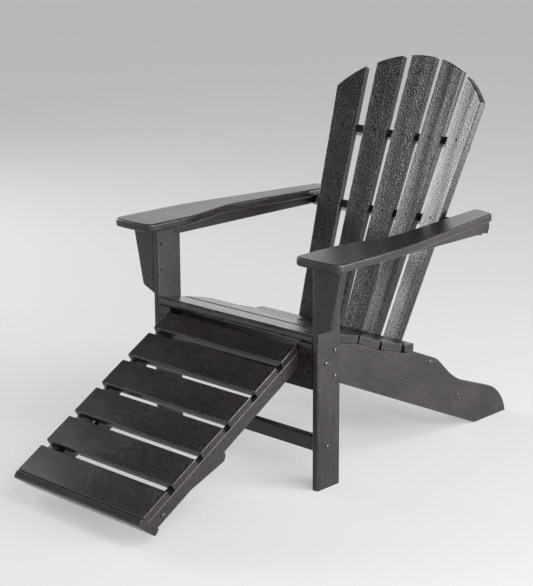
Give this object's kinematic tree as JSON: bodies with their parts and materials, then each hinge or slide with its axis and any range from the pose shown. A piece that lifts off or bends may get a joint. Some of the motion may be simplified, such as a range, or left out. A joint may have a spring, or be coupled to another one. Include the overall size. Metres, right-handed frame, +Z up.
{
  "type": "adirondack chair",
  "caption": "Slatted garden armchair with a fanned, arched back, wide flat arms, a sloping seat and a slatted leg rest that runs down from the seat to the floor.",
  "frame": {"origin": "on the floor, at the centre of the chair's outline with the leg rest down", "axes": "+X to the sitter's left, seen from the front to the right; +Y from the leg rest to the back; +Z up"},
  "size_m": [0.786, 1.3562, 0.9861],
  "materials": {
    "lumber": "black recycled-plastic lumber with a fine embossed wood grain and a satin sheen",
    "hardware": "dark coated stainless screws, bolts, nuts and pins"
  },
  "bodies": {
    "chair_frame": {"front_leg_left": "lumber", "front_leg_right": "lumber", "side_stringer_left": "lumber", "side_stringer_right": "lumber", "front_apron": "lumber", "front_stretcher": "lumber", "rear_stretcher": "lumber", "seat_slat_1": "lumber", "seat_slat_2": "lumber", "seat_slat_3": "lumber", "seat_slat_4": "lumber", "seat_slat_5": "lumber", "back_foot_rail": "lumber", "back_arm_tie": "lumber", "back_upper_rail": "lumber", "back_slat_1": "lumber", "back_slat_2": "lumber", "back_slat_3": "lumber", "back_slat_4": "lumber", "back_slat_5": "lumber", "arm_left": "lumber", "arm_right": "lumber", "arm_rail_left": "lumber", "arm_rail_right": "lumber", "arm_bracket_left": "lumber", "arm_bracket_right": "lumber", "guide_batten_upper_left": "lumber", "guide_batten_upper_right": "lumber", "guide_batten_lower_left": "lumber", "guide_batten_lower_right": "lumber", "seat_screws": "hardware", "back_screws": "hardware", "arm_screws": "hardware", "arm_rail_screws": "hardware", "apron_screws": "hardware", "guide_screws": "hardware", "leg_bolts": "hardware", "stringer_bolts": "hardware"},
    "leg_rest": {"leg_rest_rail_left": "lumber", "leg_rest_rail_right": "lumber", "leg_rest_end_board": "lumber", "leg_rest_slat_1": "lumber", "leg_rest_slat_2": "lumber", "leg_rest_slat_3": "lumber", "leg_rest_slat_4": "lumber", "leg_rest_slat_5": "lumber", "leg_rest_slat_6": "lumber", "leg_rest_pins": "hardware", "leg_rest_screws": "hardware", "support_leg_bolts": "hardware", "support_leg_nuts": "hardware"},
    "support_leg_left": {"support_leg_left": "lumber"},
    "support_leg_right": {"support_leg_right": "lumber"}
  },
  "joints": [
    {"name": "leg_rest_tilt", "type": "hinge", "parent": "chair_frame", "child": "leg_rest", "pos_m": [0, -0.11745, 0.33334], "axis": [-1, 0, 0], "range_deg": [0, 20]},
    {"name": "support_leg_left_swing", "type": "hinge", "parent": "leg_rest", "child": "support_leg_left", "pos_m": [-0.2165, -0.6031, 0.05992], "axis": [-1, 0, 0], "range_deg": [0, 90.24]},
    {"name": "support_leg_right_swing", "type": "hinge", "parent": "leg_rest", "child": "support_leg_right", "pos_m": [0.2165, -0.6031, 0.05992], "axis": [-1, 0, 0], "range_deg": [0, 90.24]}
  ],
  "couplings": [
    {"joint": "support_leg_left_swing", "follows": "leg_rest_tilt", "ratio": 4.5119},
    {"joint": "support_leg_right_swing", "follows": "leg_rest_tilt", "ratio": 4.5119}
  ]
}
